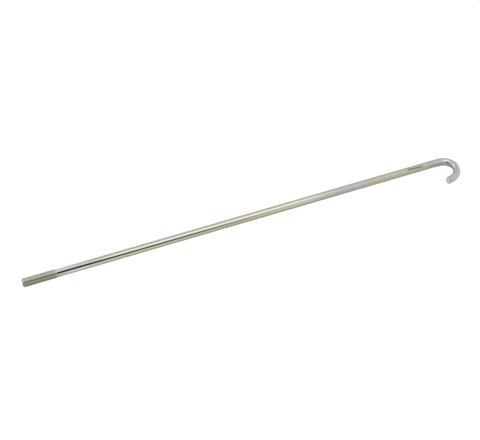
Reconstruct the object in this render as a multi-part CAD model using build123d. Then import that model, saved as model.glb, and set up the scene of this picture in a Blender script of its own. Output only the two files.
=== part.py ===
from build123d import *
import math
import os

# Long J bolt: one length of plated steel rod with a rolled screw thread on one
# end and a hook bent on the other. It lies flat, as it comes to rest.
#
# Frame, in millimetres:
#   origin  on the rod's axis, at the end face of the threaded end
#   +X      along the shank, from the threaded end towards the hook
#   +Z      up, square to the flat plane that the shank and the hook lie in
#   the hook turns towards -Y

# ---------------------------------------------------------------- dimensions
ROD_D = 5.3          # plain shank and hook; close to the pitch diameter of the thread
THREAD_D = 6.0       # outside diameter of the rolled M6 thread
THREAD_PITCH = 1.0   # M6 coarse
THREAD_LENGTH = 21.9  # end face to the start of the plain shank
RUN_OUT = 0.6        # the last half turn fades down to the shank
NOSE = 0.55          # lead-in chamfer on the free end

SHANK_END = 302.8    # end face to the start of the bend
BEND_R1 = 8.29       # first and tighter part of the hook, on the rod's axis
BEND_A1 = 102.7      # degrees
BEND_R2 = 12.72      # the rest opens out
BEND_A2 = 62.0       # degrees
TIP_LENGTH = 3.54    # straight end after the bend
TIP_EDGE = 0.35      # eased edge of the sheared end

# ------------------------------------------------------------ derived values
rod_r = ROD_D / 2
thread_r = THREAD_D / 2
nose_r = thread_r - NOSE


def heading(turn):
    """The rod's direction after it has turned this many degrees towards -Y."""
    a = math.radians(turn)
    return Vector(math.cos(a), -math.sin(a), 0)


def inwards(turn):
    """Towards the centre of the bend, square to the heading."""
    a = math.radians(turn)
    return Vector(-math.sin(a), -math.cos(a), 0)


def section(place, turn):
    """The rod's round section, facing along the heading."""
    plane = Plane(origin=place, x_dir=(0, 0, 1), z_dir=heading(turn))
    return plane * Circle(rod_r)


# ------------------------------------------------------ thread end and shank
# One turned profile about X. The thread is held as its outside cylinder, with
# the lead-in chamfer and the run-out.
with BuildPart() as bar:
    with BuildSketch(Plane.XY):
        with BuildLine():
            Polyline(
                (0, 0),
                (0, nose_r),
                (NOSE, thread_r),
                (THREAD_LENGTH - RUN_OUT, thread_r),
                (THREAD_LENGTH, rod_r),
                (SHANK_END, rod_r),
                (SHANK_END, 0),
                close=True,
            )
        make_face()
    revolve(axis=Axis.X)

# ---------------------------------------------------------------------- hook
bend_start = Vector(SHANK_END, 0, 0)
centre_1 = bend_start + inwards(0) * BEND_R1
hook_1 = revolve(
    section(bend_start, 0), Axis(centre_1, (0, 0, -1)), revolution_arc=BEND_A1
)

bend_middle = centre_1 - inwards(BEND_A1) * BEND_R1
centre_2 = bend_middle + inwards(BEND_A1) * BEND_R2
hook_2 = revolve(
    section(bend_middle, BEND_A1), Axis(centre_2, (0, 0, -1)), revolution_arc=BEND_A2
)

full_turn = BEND_A1 + BEND_A2
bend_end = centre_2 - inwards(full_turn) * BEND_R2
tip = extrude(section(bend_end, full_turn), amount=TIP_LENGTH, dir=heading(full_turn))
tip_end = bend_end + heading(full_turn) * TIP_LENGTH
tip = chamfer(
    tip.edges().filter_by(GeomType.CIRCLE).sort_by_distance(tip_end)[0], TIP_EDGE
)

j_bolt = bar.part + hook_1 + hook_2 + tip
j_bolt = j_bolt.solid() if len(j_bolt.solids()) == 1 else j_bolt
j_bolt.label = "j_bolt"

os.makedirs("parts", exist_ok=True)
export_step(j_bolt, "parts/j_bolt.step")

box = j_bolt.bounding_box()
print("solids", len(j_bolt.solids()), "valid", j_bolt.is_valid)
print("volume", round(j_bolt.volume, 2))
print("box", [round(v, 3) for v in (*box.min, *box.max)])
print("full thread from", NOSE, "to", THREAD_LENGTH - RUN_OUT)
print("bend middle", bend_middle, "bend end", bend_end, "tip end", tip_end)
print("inside of the hook", round(BEND_R1 - rod_r, 3), "mm radius")
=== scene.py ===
import math

import bpy
import numpy as np
from mathutils import Matrix, Vector


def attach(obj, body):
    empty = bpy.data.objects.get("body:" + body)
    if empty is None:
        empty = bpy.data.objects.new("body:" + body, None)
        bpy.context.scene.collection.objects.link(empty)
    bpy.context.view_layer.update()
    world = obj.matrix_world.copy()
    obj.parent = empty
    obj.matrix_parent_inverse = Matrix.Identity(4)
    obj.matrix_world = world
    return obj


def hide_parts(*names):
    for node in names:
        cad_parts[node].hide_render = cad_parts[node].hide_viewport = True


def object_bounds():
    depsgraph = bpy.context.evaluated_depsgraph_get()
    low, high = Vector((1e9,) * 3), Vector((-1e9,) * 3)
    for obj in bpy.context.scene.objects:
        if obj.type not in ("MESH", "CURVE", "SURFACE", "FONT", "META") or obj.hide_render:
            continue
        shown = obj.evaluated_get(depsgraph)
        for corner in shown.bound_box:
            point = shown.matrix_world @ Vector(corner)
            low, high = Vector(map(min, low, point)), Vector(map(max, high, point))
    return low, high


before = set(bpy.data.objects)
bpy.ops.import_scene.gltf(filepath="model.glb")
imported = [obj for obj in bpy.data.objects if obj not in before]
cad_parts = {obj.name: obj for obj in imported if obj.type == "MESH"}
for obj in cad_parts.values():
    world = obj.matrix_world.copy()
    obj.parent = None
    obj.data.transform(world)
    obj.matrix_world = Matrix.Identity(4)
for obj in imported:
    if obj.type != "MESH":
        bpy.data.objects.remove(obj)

CAD_LO, CAD_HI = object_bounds()
MM = 0.001

# ---------------------------------------------------------------------------
# The bolt's own measures, in millimetres, as in the CAD part
# ---------------------------------------------------------------------------
ROD_R = 2.65
THREAD_R = 2.98
PITCH = 1.0
DEPTH = 0.43
ROOT_R = THREAD_R - DEPTH
NOSE = 0.55
NOSE_R = 3.0 - NOSE
THREAD_END = 21.9
SHANK_END = 302.8
BEND_R1, BEND_A1 = 8.29, math.radians(102.7)
BEND_R2, BEND_A2 = 12.72, math.radians(62.0)
TIP = 3.54
TIP_EDGE = 0.35
TIP_SLANT, TIP_SLANT_TH = 0.12, math.radians(-35.0)   # the sheared face is a little out of square

FLOOR_LIGHT = 1.0
TENT_LIGHT, TENT_CROWN = 0.66, 0.19

AROUND = 96            # points round the rod
PER_PITCH = 20         # rings in each turn of the thread

rng = np.random.default_rng(17)


def smooth(x, lo, hi):
    t = np.clip((np.asarray(x, float) - lo) / (hi - lo), 0.0, 1.0)
    return t * t * (3 - 2 * t)


# ---------------------------------------------------------------------------
# Centre line: straight shank, two tangent arcs, short straight tip
# ---------------------------------------------------------------------------
def heading(a):
    return np.array([math.cos(a), -math.sin(a), 0.0])


def inwards(a):
    return np.array([-math.sin(a), -math.cos(a), 0.0])


START = np.array([SHANK_END, 0.0, 0.0])
C1 = START + inwards(0.0) * BEND_R1
MIDDLE = C1 - inwards(BEND_A1) * BEND_R1
C2 = MIDDLE + inwards(BEND_A1) * BEND_R2
TURN = BEND_A1 + BEND_A2
STOP = C2 - inwards(TURN) * BEND_R2
S1 = SHANK_END + BEND_R1 * BEND_A1
S2 = S1 + BEND_R2 * BEND_A2
LENGTH = S2 + TIP


def centre(s):
    """Point on the axis and the turned angle, s mm along it from the thread's end."""
    if s <= SHANK_END:
        return np.array([s, 0.0, 0.0]), 0.0
    if s <= S1:
        a = (s - SHANK_END) / BEND_R1
        return C1 - inwards(a) * BEND_R1, a
    if s <= S2:
        a = BEND_A1 + (s - S1) / BEND_R2
        return C2 - inwards(a) * BEND_R2, a
    return STOP + heading(TURN) * (s - S2), TURN


# ---------------------------------------------------------------------------
# Rolled thread profile, as a table over one pitch
# ---------------------------------------------------------------------------
N_TAB = 720
u = (np.arange(N_TAB) + 0.5) / N_TAB - 0.5
crest_half = 0.235
flank = DEPTH * math.tan(math.radians(30)) / PITCH
ridge = 1.0 - np.clip((np.abs(u) - crest_half) / flank, 0.0, 1.0)


def ring_blur(v, width):
    k = np.exp(-0.5 * (u / width) ** 2)
    k /= k.sum()
    return np.real(np.fft.ifft(np.fft.fft(v) * np.fft.fft(np.roll(k, -int(np.argmax(k))))))


ridge = ring_blur(ridge, 0.022)
ridge = (ridge - ridge.min()) / (ridge.max() - ridge.min())


def thread_radius(x, theta):
    """Radius of the rolled thread, a right-hand helix about +X, with its fade at both ends."""
    phase = (x / PITCH - theta / (2 * math.pi)) % 1.0
    h = np.interp(phase, u + 0.5, ridge, period=1.0)
    r = ROOT_R + DEPTH * h
    # the last turn and a half runs out into the plain shank
    keep = 1.0 - smooth(x - 0.25 * PITCH * np.sin(theta), THREAD_END - 0.95, THREAD_END - 0.05)
    r = ROD_R + (r - ROD_R) * keep
    # rolled crests are never quite even
    r = r - 0.012 * (1 + np.sin(theta * 3 + x * 1.7)) * h * keep
    # lead-in cone, deeper where the shear rolled the stock's edge over
    cone = NOSE_R * rolled_over(theta) + np.maximum(x, 0.0)
    return np.minimum(r, cone)


def rolled_over(theta):
    return 1 - 0.20 * np.clip(np.cos(theta - math.radians(218.0)), 0, 1) ** 2


def body_radius(s, theta):
    """Plain rod, with the slight flattening and inside bulge that cold bending leaves."""
    r = np.full_like(theta, ROD_R)
    bent = float(smooth(s, SHANK_END - 2.0, SHANK_END + 4.0) * (1 - smooth(s, S2 - 5.0, S2 + 1.0)))
    tight = bent * (1.0 if s < S1 else 0.65)
    # theta 0 is the outside of the bend, pi the inside, pi/2 the top
    r = r * (1 - 0.020 * tight * np.cos(theta) ** 2)
    # the inside thickens where the bend begins, next to the die edge's shallow dent, and
    # the rod is drawn thinner round the rest
    inside = np.clip(-np.cos(theta), 0, 1) ** 2
    r = r * (1 + (0.105 * math.exp(-(((s - 302.7) / 2.4) ** 2)) + 0.02 * math.exp(-(((s - 312.8) / 2.0) ** 2))) * inside)
    low_inside = np.clip(np.cos(theta - math.radians(204.0)), 0, 1) ** 12
    r = r * (1 + (0.11 * math.exp(-(((s - 305.8) / 1.5) ** 2)) - 0.06 * math.exp(-(((s - 309.6) / 1.7) ** 2))) * low_inside)
    r = r * (1 - 0.045 * math.exp(-(((s - 298.0) / 2.0) ** 2)) * np.clip(np.cos(theta - math.radians(226.0)), 0, 1) ** 2)
    r = r * (1 - 0.045 * float(smooth(s, S1 - 3.0, S1 + 4.0)))
    return r


# the mark that the bending tool's jaw left on the shank: a shallow flat groove
MARK_S0, MARK_S1, MARK_TH, MARK_DRIFT, MARK_HALF = 277.1, 290.3, math.radians(115.0), 0.022, 0.24


def mark_depth(s, theta):
    along = smooth(s, MARK_S0, MARK_S0 + 0.8) * (1 - smooth(s, MARK_S1 - 6.5, MARK_S1))
    drift = MARK_TH + MARK_DRIFT * (s - MARK_S0)
    d = (theta - drift + math.pi) % (2 * math.pi) - math.pi
    across = np.exp(-((d / MARK_HALF) ** 2) * 0.9)
    return 0.075 * float(along) * across


# ---------------------------------------------------------------------------
# The mesh: rings along the axis, capped at both ends
# ---------------------------------------------------------------------------
theta = np.arange(AROUND) * 2 * math.pi / AROUND
rows, stations = [], []           # each row: (AROUND, 3) points, and the straightened place


def add_ring(s, radius, ax=None):
    """A ring at s along the axis. ax shifts it along the axis without leaving its frame."""
    p, a = centre(min(max(s, 0.0), LENGTH))
    t = heading(a)
    out = -inwards(a)
    shift = (s if ax is None else ax) - min(max(s, 0.0), LENGTH)
    base = p + t * shift
    slant = TIP_SLANT * radius * np.cos(theta - TIP_SLANT_TH) * float(smooth(s, LENGTH - 2.6, LENGTH - TIP_EDGE))
    ring = (
        base[None, :]
        + np.outer(slant, t)
        + np.outer(radius * np.cos(theta), out)
        + np.outer(radius * np.sin(theta), np.array([0.0, 0.0, 1.0]))
    )
    rows.append(ring)
    stations.append(
        np.stack([np.full(AROUND, s if ax is None else ax), radius * np.cos(theta), radius * np.sin(theta)], 1)
    )


one = np.ones(AROUND)

# threaded end face: rolling draws the skin forward and leaves the middle dished
for rr, depth in ((0.25, 0.26), (0.6, 0.235), (1.0, 0.19), (1.4, 0.13), (1.75, 0.075), (2.0, 0.035), (2.16, 0.01), (NOSE_R - 0.06, 0.0)):
    wobble = 1 + 0.02 * np.sin(theta * 2 + rr) * (rr < 2.1)
    add_ring(0.0, rr * wobble * (1 + (rolled_over(theta) - 1) * (rr / NOSE_R) ** 2), ax=depth)

# nose, thread and run-out
step = PITCH / PER_PITCH
xs = [0.02, 0.05] + list(np.arange(0.09, THREAD_END + 1.2, step))
for x in xs:
    add_ring(x, thread_radius(np.full(AROUND, x), theta))

# plain shank: wide rings, finer over the tool mark
s = xs[-1]
plain = []
while s < SHANK_END - 3.0:
    s += 0.35 if MARK_S0 - 1.5 < s < MARK_S1 + 1.0 else 2.2
    plain.append(s)
for s in plain:
    add_ring(s, body_radius(s, theta) - mark_depth(s, theta))

# hook
s = plain[-1]
while s < S2 - 0.2:
    s += 0.24
    add_ring(s, body_radius(s, theta))
for s in np.linspace(s + 0.25, LENGTH - TIP_EDGE - 0.15, 12):
    add_ring(s, body_radius(s, theta))

TIP_R = body_radius(LENGTH - TIP_EDGE, theta)
# sheared tip: an eased edge, a face that is not quite flat and a faint burr at the bottom
for k in range(0, 7):
    a = k / 6 * math.pi / 2
    drop = TIP_EDGE * (1 - math.cos(a))
    fwd = TIP_EDGE * math.sin(a)
    add_ring(LENGTH - TIP_EDGE + fwd, TIP_R - drop * one)
for rr, depth in ((2.1, 0.01), (1.8, 0.03), (1.4, 0.05), (1.0, 0.06), (0.6, 0.065), (0.25, 0.07)):
    add_ring(LENGTH - depth, rr * one)

rows = np.array(rows)
stations = np.array(stations)
n_rows = len(rows)
verts = rows.reshape(-1, 3)
straight = stations.reshape(-1, 3)

first = len(verts)
p0 = rows[0].mean(0)
p1 = rows[-1].mean(0)
verts = np.vstack([verts, p0[None], p1[None]]) * MM
straight = np.vstack([straight, [[stations[0, 0, 0], 0, 0]], [[stations[-1, 0, 0], 0, 0]]])

faces = []
for i in range(n_rows - 1):
    a0, b0 = i * AROUND, (i + 1) * AROUND
    for j in range(AROUND):
        k = (j + 1) % AROUND
        faces.append((a0 + j, a0 + k, b0 + k, b0 + j))
last = (n_rows - 1) * AROUND
for j in range(AROUND):
    k = (j + 1) % AROUND
    faces.append((first, k, j))
    faces.append((first + 1, last + j, last + k))

mesh = bpy.data.meshes.new("j_bolt_plated")
mesh.from_pydata(verts.tolist(), [], faces)
mesh.update()
mesh.polygons.foreach_set("use_smooth", np.ones(len(mesh.polygons), bool))

# places along, across and up the straightened rod, in millimetres, so that the
# plating's bands run on round the hook
attr = mesh.attributes.new("rod_mm", "FLOAT_VECTOR", "POINT")
attr.data.foreach_set("vector", straight.astype(np.float32).ravel())

# the same straightened skin laid out in strips, for the export's bake
STRIPS = 5
gap = np.linalg.norm(np.diff(rows, axis=0), axis=2).mean(1)
run = np.concatenate([[0.0], np.cumsum(np.maximum(gap, 0.02))])
run = (run + 0.3) / (run[-1] + 0.6)


def strip_uv(i, j, strip):
    """Place of ring i, point j in the layout. j may be AROUND, for the seam's far side."""
    across = 0.01 + 0.98 * (run[i] * STRIPS - strip) if 0 <= i < n_rows else (0.004 if i < 0 else 0.996)
    return across, (strip + 0.04 + 0.92 * j / AROUND) / STRIPS


layout = []
for i in range(n_rows - 1):
    strip = min(int(run[i] * STRIPS), STRIPS - 1)
    if run[i + 1] * STRIPS - strip > 1.008:
        strip = min(strip + 1, STRIPS - 1)
    for j in range(AROUND):
        layout += [strip_uv(i, j, strip), strip_uv(i, j + 1, strip), strip_uv(i + 1, j + 1, strip), strip_uv(i + 1, j, strip)]
for j in range(AROUND):
    layout += [strip_uv(-1, j + 0.5, 0), strip_uv(0, j + 1, 0), strip_uv(0, j, 0)]
    end = STRIPS - 1
    layout += [strip_uv(n_rows, j + 0.5, end), strip_uv(n_rows - 1, j, end), strip_uv(n_rows - 1, j + 1, end)]
uv = mesh.uv_layers.new(name="OFBake")
uv.data.foreach_set("uv", np.array(layout, np.float32).ravel())

bolt = bpy.data.objects.new("j_bolt_plated", mesh)
bpy.context.scene.collection.objects.link(bolt)


# ---------------------------------------------------------------------------
# Plated steel
# ---------------------------------------------------------------------------
def nodes_of(mat):
    mat.use_nodes = True
    nt = mat.node_tree
    nt.nodes.clear()
    return nt


class Net:
    def __init__(self, nt):
        self.nt = nt

    def add(self, kind, **props):
        n = self.nt.nodes.new(kind)
        for k, v in props.items():
            setattr(n, k, v)
        return n

    def link(self, a, b):
        self.nt.links.new(a, b)

    def put(self, sock, v):
        if isinstance(v, bpy.types.NodeSocket):
            self.link(v, sock)
        else:
            sock.default_value = v

    def math(self, op, a, b=0.0, c=0.0, clamp=False):
        n = self.add("ShaderNodeMath", operation=op, use_clamp=clamp)
        for i, v in enumerate((a, b, c)):
            self.put(n.inputs[i], v)
        return n.outputs[0]

    def vec(self, op, a, b=(0, 0, 0), scale=None):
        n = self.add("ShaderNodeVectorMath", operation=op)
        self.put(n.inputs[0], a)
        self.put(n.inputs[1], b)
        if scale is not None:
            self.put(n.inputs["Scale"], scale)
        return n.outputs["Value"] if op in ("DOT_PRODUCT", "LENGTH", "DISTANCE") else n.outputs["Vector"]

    def map_range(self, v, lo, hi, a=0.0, b=1.0, kind="SMOOTHSTEP"):
        n = self.add("ShaderNodeMapRange", interpolation_type=kind)
        self.put(n.inputs["Value"], v)
        self.put(n.inputs["From Min"], lo)
        self.put(n.inputs["From Max"], hi)
        self.put(n.inputs["To Min"], a)
        self.put(n.inputs["To Max"], b)
        return n.outputs["Result"]

    def noise(self, vector, scale, detail=2.0, rough=0.5, dist=0.0):
        n = self.add("ShaderNodeTexNoise", noise_dimensions="3D")
        self.put(n.inputs["Vector"], vector)
        n.inputs["Scale"].default_value = scale
        n.inputs["Detail"].default_value = detail
        n.inputs["Roughness"].default_value = rough
        n.inputs["Distortion"].default_value = dist
        return n.outputs["Fac"]

    def ramp(self, fac, stops, kind="LINEAR"):
        n = self.add("ShaderNodeValToRGB")
        r = n.color_ramp
        r.interpolation = kind
        while len(r.elements) > 1:
            r.elements.remove(r.elements[-1])
        for k, (at, c) in enumerate(stops):
            e = r.elements[0] if k == 0 else r.elements.new(at)
            e.position = at
            e.color = (*c, 1.0)
        self.put(n.inputs[0], fac)
        return n.outputs[0]

    def mix(self, fac, a, b, blend="MIX"):
        n = self.add("ShaderNodeMix", data_type="RGBA", blend_type=blend)
        n.clamp_factor = True
        self.put(n.inputs["Factor"], fac)
        self.put(n.inputs[6], a if isinstance(a, bpy.types.NodeSocket) else (*a, 1.0))
        self.put(n.inputs[7], b if isinstance(b, bpy.types.NodeSocket) else (*b, 1.0))
        return n.outputs[2]


mat = bpy.data.materials.new("plated_steel_look")
nt = nodes_of(mat)
N = Net(nt)
out = N.add("ShaderNodeOutputMaterial")
bsdf = N.add("ShaderNodeBsdfPrincipled")
N.link(bsdf.outputs[0], out.inputs[0])
bsdf.inputs["Metallic"].default_value = 1.0

place = N.add("ShaderNodeAttribute", attribute_type="GEOMETRY", attribute_name="rod_mm").outputs["Vector"]
sep = N.add("ShaderNodeSeparateXYZ")
N.link(place, sep.inputs[0])
S, Y, Z = sep.outputs

# the rod's own noises, drawn out along it
slow = N.vec("MULTIPLY", place, (0.0309, 0.134, 0.134))
streak = N.vec("MULTIPLY", place, (0.0464, 0.62, 0.62))
fine = N.vec("MULTIPLY", place, (0.26, 3.1, 3.1))
cloud = N.noise(slow, 1.0, 3.0, 0.55, 0.4)
cloud2 = N.noise(N.vec("ADD", slow, (7.3, 1.1, 4.2)), 1.0, 2.0, 0.5, 0.3)
bands = N.noise(streak, 1.0, 3.0, 0.55)
grain = N.noise(fine, 1.0, 2.0, 0.6)

# The chromate film's thickness drifts along the rod, so its colour goes round the
# usual order: broad fields several centimetres long, which the noises break up into
# soft patches. Each stop: place along the rod in mm and turn of the colour order.
FIELDS = (
    (0, 0.95),
    (28, 0.46), (46, 0.48),     # lilac beside the thread
    (58, 0.92), (132, 0.94),    # straw to lime over the threaded half
    (147, 1.25),                # a pinkish patch
    (168, 1.00), (186, 0.98),   # straw again
    (202, 0.70), (228, 0.78),   # green
    (250, 0.04), (284, 0.02),   # straw before the hook
    (297, 0.42),                # lilac where the bend starts
    (310, 0.60),                # mint round the hook's crown
    (332, 0.25),                # pinkish to the tip
)
along = N.math("MULTIPLY", S, 1.0 / 340.0)
turn = N.ramp(along, [(s_ / 340.0, (t_ / 2.0,) * 3) for s_, t_ in FIELDS])
turn = N.math("MULTIPLY", turn, 2.0)
side_angle = N.math("ARCTAN2", Z, Y)
under = N.map_range(N.math("COSINE", N.math("SUBTRACT", side_angle, math.radians(200.0))), 0.25, 0.95)
# the lower front runs ahead beside the thread and lags where the bend starts
bend_patch = N.math("MULTIPLY", N.map_range(S, 293.0, 299.0), N.map_range(S, 309.0, 303.0))
ahead = N.math("MULTIPLY_ADD", N.map_range(S, 54.0, 42.0), 0.42, N.math("MULTIPLY", bend_patch, -0.26))
turn = N.math("MULTIPLY_ADD", ahead, under, turn)
# how strong the colour is: soft clouds, a little more below, most under the bend
sat = N.map_range(cloud2, 0.3, 0.7, 0.40, 1.00, "LINEAR")
sat = N.math("MULTIPLY", sat, N.math("MULTIPLY_ADD", under, N.math("MULTIPLY_ADD", bend_patch, 1.0, 0.25), 1.0))
sat = N.math("MULTIPLY", sat, 0.5)
turn = N.math("ADD", turn, N.math("MULTIPLY", N.math("SUBTRACT", bands, 0.5), 0.28))
turn = N.math("ADD", turn, N.math("MULTIPLY", N.math("SUBTRACT", cloud, 0.5), 0.18))
turn = N.math("FRACT", turn)
STRAW = (0.625, 0.622, 0.445)
TAN = (0.655, 0.608, 0.476)
PINK = (0.655, 0.594, 0.540)
LILAC = (0.642, 0.620, 0.626)
MINT = (0.550, 0.622, 0.545)
GREEN = (0.578, 0.626, 0.516)
LIME = (0.600, 0.626, 0.478)
GREY = (0.618, 0.622, 0.575)
col = N.ramp(turn, ((0.0, STRAW), (0.12, TAN), (0.26, PINK), (0.43, LILAC), (0.60, MINT), (0.72, MINT), (0.82, GREEN), (0.92, LIME), (1.0, STRAW)))
n_ = N.add("ShaderNodeMix", data_type="RGBA")
n_.clamp_factor = False
N.put(n_.inputs["Factor"], N.math("MULTIPLY", sat, 2.0))
N.put(n_.inputs[6], (*GREY, 1.0))
N.link(col, n_.inputs[7])
col = n_.outputs[2]
# the colour is made brighter next to the thread and again round the hook
gain = N.math("MULTIPLY", N.map_range(S, 24.0, 57.0, 1.23, 0.99), N.map_range(S, 304.0, 330.0, 1.0, 1.06))
# a brighter patch on the lower front past the middle, and a darker one on the lower front before the bend
patch = N.math("MULTIPLY", N.map_range(S, 148.0, 166.0), N.map_range(S, 222.0, 200.0))
patch = N.math("MULTIPLY", patch, N.map_range(N.math("COSINE", N.math("SUBTRACT", side_angle, math.radians(158.0))), 0.93, 0.99))
darker_before_bend = N.math("MULTIPLY", N.map_range(S, 292.5, 297.5), N.map_range(S, 319.0, 312.0))
lower = N.math("MULTIPLY_ADD", patch, 0.17, N.math("MULTIPLY", N.math("MULTIPLY", darker_before_bend, under), -0.17))
waist = N.math("MULTIPLY", N.map_range(S, 291.0, 294.0), N.map_range(S, 304.0, 300.0))
gain = N.math("MULTIPLY", gain, N.math("ADD", N.math("MULTIPLY_ADD", waist, -0.05, lower), 1.0))
gain = N.math("MULTIPLY", gain, N.map_range(grain, 0.2, 0.8, 0.97, 1.03, "LINEAR"))
col = N.vec("SCALE", col, scale=gain)

# rolled thread: its film stayed thin and greyer; its colour is lighter on the crests and darker down in the groove, the
# groove's darkening a painted shade
on_thread = N.map_range(S, THREAD_END - 0.1, THREAD_END - 0.9)
height = N.vec("LENGTH", N.vec("MULTIPLY", place, (0.0, 1.0, 1.0)))
# painted shade: the colour is scaled down towards the groove and up on the crests
crest = N.map_range(height, THREAD_R - 0.26, THREAD_R - 0.05, 0.97, 1.04)
thread_col = N.mix(N.map_range(grain, 0.3, 0.7), (0.598, 0.627, 0.506), (0.657, 0.686, 0.562))
col = N.mix(on_thread, col, N.vec("SCALE", thread_col, scale=crest))

# scuffed floor of the tool mark
off = N.math("SUBTRACT", side_angle, N.math("MULTIPLY_ADD", S, MARK_DRIFT, MARK_TH - MARK_DRIFT * MARK_S0))
across = N.map_range(N.math("ABSOLUTE", off), 1.25 * MARK_HALF, 0.45 * MARK_HALF)
length = N.math("MULTIPLY", N.map_range(S, MARK_S0 - 0.1, MARK_S0 + 0.5), N.map_range(S, MARK_S1 + 0.5, MARK_S1 - 3.5))
mark = N.math("MULTIPLY", across, length)
mark = N.math("MULTIPLY", mark, N.map_range(grain, 0.25, 0.6, 0.75, 1.0))
col = N.mix(mark, col, (0.190, 0.178, 0.122))
# the tip's cut face: brighter, rougher
# painted shade: a band of the tip's eased edge is darkened, standing in for the dark reflection the chamfer catches
rim_painted_shade = N.math("MULTIPLY", N.map_range(S, LENGTH - 0.95, LENGTH - 0.45), N.map_range(S, LENGTH - 0.04, LENGTH - 0.14))
col = N.mix(rim_painted_shade, col, N.vec("SCALE", col, scale=0.62))
cut_face = N.map_range(S, LENGTH - 0.22, LENGTH - 0.05)
col = N.mix(cut_face, col, (0.745, 0.745, 0.680))
N.put(bsdf.inputs["Base Color"], col)

rough = N.math("ADD", 0.075, N.math("MULTIPLY", N.map_range(cloud2, 0.3, 0.7), 0.05))
rough = N.math("ADD", rough, N.math("MULTIPLY", on_thread, 0.21))
rough = N.math("ADD", rough, N.math("MULTIPLY", cut_face, 0.15))
rough = N.math("ADD", rough, N.math("MULTIPLY", mark, 0.20))
rough = N.math("ADD", rough, N.math("MULTIPLY", N.math("SUBTRACT", grain, 0.5), 0.06))
N.put(bsdf.inputs["Roughness"], rough)

bump = N.add("ShaderNodeBump")
bump.inputs["Strength"].default_value = 0.12
bump.inputs["Distance"].default_value = 0.00002
N.link(grain, bump.inputs["Height"])
N.link(bump.outputs[0], bsdf.inputs["Normal"])

mesh.materials.append(mat)

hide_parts("j_bolt")
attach(bolt, "root")

# ---------------------------------------------------------------------------
# Floor: a white light table, so that nothing throws a shadow on it
# ---------------------------------------------------------------------------
FLOOR_Z = CAD_LO.z - 0.00001
fm = bpy.data.meshes.new("floor")
size = 3.0
fm.from_pydata(
    [(-size + 0.17, -size, FLOOR_Z), (size + 0.17, -size, FLOOR_Z), (size + 0.17, size, FLOOR_Z), (-size + 0.17, size, FLOOR_Z)],
    [],
    [(0, 1, 2, 3)],
)
floor = bpy.data.objects.new("floor", fm)
bpy.context.scene.collection.objects.link(floor)
fmat = bpy.data.materials.new("floor_white")
fnt = nodes_of(fmat)
F = Net(fnt)
fo = F.add("ShaderNodeOutputMaterial")
fb = F.add("ShaderNodeBsdfPrincipled")
fb.inputs["Base Color"].default_value = (0.05, 0.05, 0.05, 1)
fb.inputs["Roughness"].default_value = 0.9
fb.inputs["Specular IOR Level"].default_value = 0.0
fb.inputs["Emission Color"].default_value = (1, 1, 1, 1)
fb.inputs["Emission Strength"].default_value = FLOOR_LIGHT
F.link(fb.outputs[0], fo.inputs[0])
fm.materials.append(fmat)

# ---------------------------------------------------------------------------
# Camera: the photo's viewing angle
# ---------------------------------------------------------------------------
ELEV, TURN_C, FPX = math.radians(40.96), math.radians(23.92), 1173.0
AIM = (438.23, 162.35)            # where the start of the bend falls in the 480 x 440 frame
DIST = 829.5
right = np.array([math.cos(TURN_C), -math.sin(TURN_C), 0.0])
ahead = np.array([math.sin(TURN_C), math.cos(TURN_C), 0.0])
up = np.array([0.0, 0.0, 1.0])
down = -math.sin(ELEV) * ahead - math.cos(ELEV) * up
forward = math.cos(ELEV) * ahead - math.sin(ELEV) * up
eye = START - DIST * ((AIM[0] - 240) / FPX * right + (AIM[1] - 220) / FPX * down + forward)
cam_data = bpy.data.cameras.new("camera")
cam_data.sensor_width = 36.0
cam_data.lens = 36.0 * FPX / 480
cam_data.clip_start, cam_data.clip_end = 0.01, 50
cam = bpy.data.objects.new("camera", cam_data)
bpy.context.scene.collection.objects.link(cam)
cam.matrix_world = Matrix(
    (
        (right[0], -down[0], -forward[0], eye[0] * MM),
        (right[1], -down[1], -forward[1], eye[1] * MM),
        (right[2], -down[2], -forward[2], eye[2] * MM),
        (0, 0, 0, 1),
    )
)
bpy.context.scene.camera = cam

# ---------------------------------------------------------------------------
# Soft studio light: a pale tent all round, a softbox overhead, and the tent's
# dark opening where the photographer stands
# ---------------------------------------------------------------------------
world = bpy.data.worlds.new("studio")
bpy.context.scene.world = world
world.use_nodes = True
wnt = world.node_tree
wnt.nodes.clear()
W = Net(wnt)
wo = W.add("ShaderNodeOutputWorld")
bg = W.add("ShaderNodeBackground")
bg.inputs["Color"].default_value = (1, 1, 1, 1)
bg.inputs["Strength"].default_value = 1.0
W.link(bg.outputs[0], wo.inputs[0])


def reflection_only(o):
    o.visible_camera = False
    o.visible_diffuse = False
    o.visible_shadow = False


# the tent is what the bright metal mirrors: a great cloth box standing on the table,
# a little brighter overhead
T0, T1 = FLOOR_Z + 0.000004, 3.0
tm = bpy.data.meshes.new("tent")
tm.from_pydata(
    [(x, y, z) for z in (T0, T1) for x, y in ((-2.6, -2.8), (2.9, -2.8), (2.9, 2.8), (-2.6, 2.8))],
    [],
    [(0, 1, 2, 3), (4, 5, 6, 7), (0, 1, 5, 4), (1, 2, 6, 5), (2, 3, 7, 6), (3, 0, 4, 7)],
)
tent = bpy.data.objects.new("tent", tm)
bpy.context.scene.collection.objects.link(tent)
tmat = bpy.data.materials.new("tent_cloth")
C = Net(nodes_of(tmat))
co = C.add("ShaderNodeOutputMaterial")
ce = C.add("ShaderNodeEmission")
ce.inputs["Color"].default_value = (1, 1, 1, 1)
spot = C.add("ShaderNodeNewGeometry").outputs["Position"]
d = C.vec("NORMALIZE", C.vec("SUBTRACT", spot, (0.155, 0.0, 0.0)))
crown = C.map_range(C.vec("DOT_PRODUCT", d, (0.0, -0.42, 0.91)), 0.2, 1.0)
C.put(ce.inputs["Strength"], C.math("MULTIPLY_ADD", crown, TENT_CROWN, TENT_LIGHT))
C.link(ce.outputs[0], co.inputs[0])
tm.materials.append(tmat)
reflection_only(tent)


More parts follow.
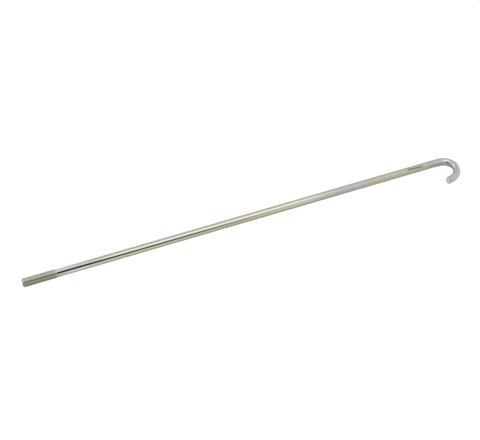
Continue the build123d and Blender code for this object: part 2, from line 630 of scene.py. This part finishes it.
def panel(name, centre_m, normal, half_w, half_h, radiance, fade=(0.3, 0.3, 0.3, 0.3), side=(1, 0, 0), lean=0.0, cut=1.0, color=(1.0, 1.0, 1.0)):
    """A rectangle of cloth that only reflections see. It fades out towards its left, right,
    bottom and top edges over these shares of its half width and half height; lean slopes the
    top edge down towards the right, and cut lowers it."""
    n = Vector(normal).normalized()
    s = Vector(side)
    s = (s - n * s.dot(n)).normalized()
    v = n.cross(s)
    if v.z < 0 or (abs(v.z) < 1e-6 and v.y < 0):
        v = -v
    c = Vector(centre_m)
    pts = [c - s * half_w - v * half_h, c + s * half_w - v * half_h, c + s * half_w + v * half_h, c - s * half_w + v * half_h]
    m = bpy.data.meshes.new(name)
    m.from_pydata([tuple(p) for p in pts], [], [(0, 1, 2, 3)])
    layer = m.uv_layers.new(name="UVMap")
    for loop, uv in zip(layer.data, ((-1, -1), (1, -1), (1, 1), (-1, 1))):
        loop.uv = uv
    o = bpy.data.objects.new(name, m)
    bpy.context.scene.collection.objects.link(o)
    pm = bpy.data.materials.new(name)
    P = Net(nodes_of(pm))
    po = P.add("ShaderNodeOutputMaterial")
    xyz = P.add("ShaderNodeSeparateXYZ")
    P.link(P.add("ShaderNodeUVMap", uv_map="UVMap").outputs[0], xyz.inputs[0])
    left, right_, low, top = (max(f, 0.001) for f in fade)
    cover = P.math("MULTIPLY", P.map_range(xyz.outputs[0], -1.0, -1.0 + left), P.map_range(xyz.outputs[0], 1.0, 1.0 - right_))
    cover = P.math("MULTIPLY", cover, P.map_range(xyz.outputs[1], -1.0, -1.0 + low))
    height = P.math("MULTIPLY_ADD", xyz.outputs[0], lean, xyz.outputs[1])
    cover = P.math("MULTIPLY", cover, P.map_range(height, cut, cut - top))
    em = P.add("ShaderNodeEmission")
    em.inputs["Color"].default_value = (*color, 1.0)
    em.inputs["Strength"].default_value = radiance
    tr = P.add("ShaderNodeBsdfTransparent")
    mx = P.add("ShaderNodeMixShader")
    P.link(cover, mx.inputs[0])
    P.link(tr.outputs[0], mx.inputs[1])
    P.link(em.outputs[0], mx.inputs[2])
    P.link(mx.outputs[0], po.inputs[0])
    m.materials.append(pm)
    reflection_only(o)
    return o


# a dark card low in front of the threaded half, which draws the line along the rod,
# with a taller piece at its left
CARD = (1.0, 1.05, 0.55)
panel("card", (0.1236, -0.1291, 0.1131), (0, 1, 0), 0.1386, 0.0811, 0.02, fade=(0.1, 0.88, 0.12, 0.5), lean=0.7, cut=0.68, color=CARD)
panel("card_tall", (-0.0369, -0.1301, 0.2257), (0, 1, 0), 0.1475, 0.0995, 0.05, fade=(0.15, 0.12, 0.3, 0.35), color=CARD)
panel("card_left", (-0.23, -0.1305, 0.31), (0, 1, 0), 0.27, 0.20, 0.03, fade=(0.3, 0.08, 0.15, 0.45), color=CARD)
panel("card_foot", (-0.2, -0.1302, 0.028), (0, 1, 0), 0.16, 0.030, 0.28, fade=(0.3, 0.2, 0.05, 0.4), color=CARD)
panel("card_low", (0.315, -0.1295, 0.046), (0, 1, 0), 0.07, 0.016, 0.48, fade=(0.7, 0.3, 0.5, 0.5))
panel("card_end", (-0.35, -0.01, 0.33), (1, 0, 0), 0.13, 0.20, 0.35, fade=(0.3, 0.4, 0.2, 0.3), side=(0, 1, 0), color=CARD)
panel("high_front", (-0.36, -0.20, 1.0), (0, 0, -1), 0.36, 0.16, 1.25, fade=(0.3, 0.3, 0.4, 0.4))
# softbox over the middle of the shank
panel("softbox", (0.3142, -0.0874, 0.5533), (0, 0, -1), 0.1589, 0.2524, 1.42, fade=(0.06, 0.41, 0.2, 0.3))
# bright cloths behind on the left and high on the left, and on the right by the hook
panel("back_left", (-0.1602, 0.5582, 0.4562), (0.25, -0.96, -0.1), 0.3252, 0.4077, 1.22, fade=(0.3, 0.2, 0.15, 0.3))
panel("high_left", (-0.2912, 0.2427, 1.456), (0, 0, -1), 0.4368, 0.3883, 1.15, fade=(0.3, 0.3, 0.3, 0.3))
panel("right", (0.9222, 0.0194, 0.2621), (-1, 0, 0), 0.728, 0.33, 0.77, fade=(0.5, 0.5, 0.1, 0.5), side=(0, 1, 0))
panel("right_table", (0.5824, -0.0194, FLOOR_Z + 0.000008), (0, 0, 1), 0.2621, 0.3883, 0.84, fade=(0.35, 0.3, 0.4, 0.4))
# the table is brightest in front of the threaded half, and dim right under the rod,
# where the rod stands in its own light
panel("table", (0.0291, -0.0485, FLOOR_Z + 0.000008), (0, 0, 1), 0.1553, 0.0582, 0.91, fade=(0.2, 0.9, 0.4, 0.1))
panel("underside", (0.1602, -0.0015, FLOOR_Z + 0.000012), (0, 0, 1), 0.1844, 0.0053, 0.44, fade=(0.2, 0.2, 0.5, 0.5))
# dim sheets round the threaded end, seen only in reflections: painted shade, which darkens the thread's edges and
# underside
panel("front_thread", (0.009, -0.030, FLOOR_Z + 0.000014), (0, 0, 1), 0.027, 0.024, 0.38, fade=(0.4, 0.3, 0.3, 0.3))
panel("back_thread", (0.012, 0.025, 0.022), (0, -1, 0), 0.0135, 0.018, 0.42, fade=(0.4, 0.35, 0.2, 0.3))
panel("underside_thread", (0.0058, -0.0029, FLOOR_Z + 0.000016), (0, 0, 1), 0.0204, 0.0087, 0.27, fade=(0.4, 0.25, 0.6, 0.6))

bpy.context.scene.view_settings.view_transform = "Standard"
bpy.context.scene.view_settings.look = "None"
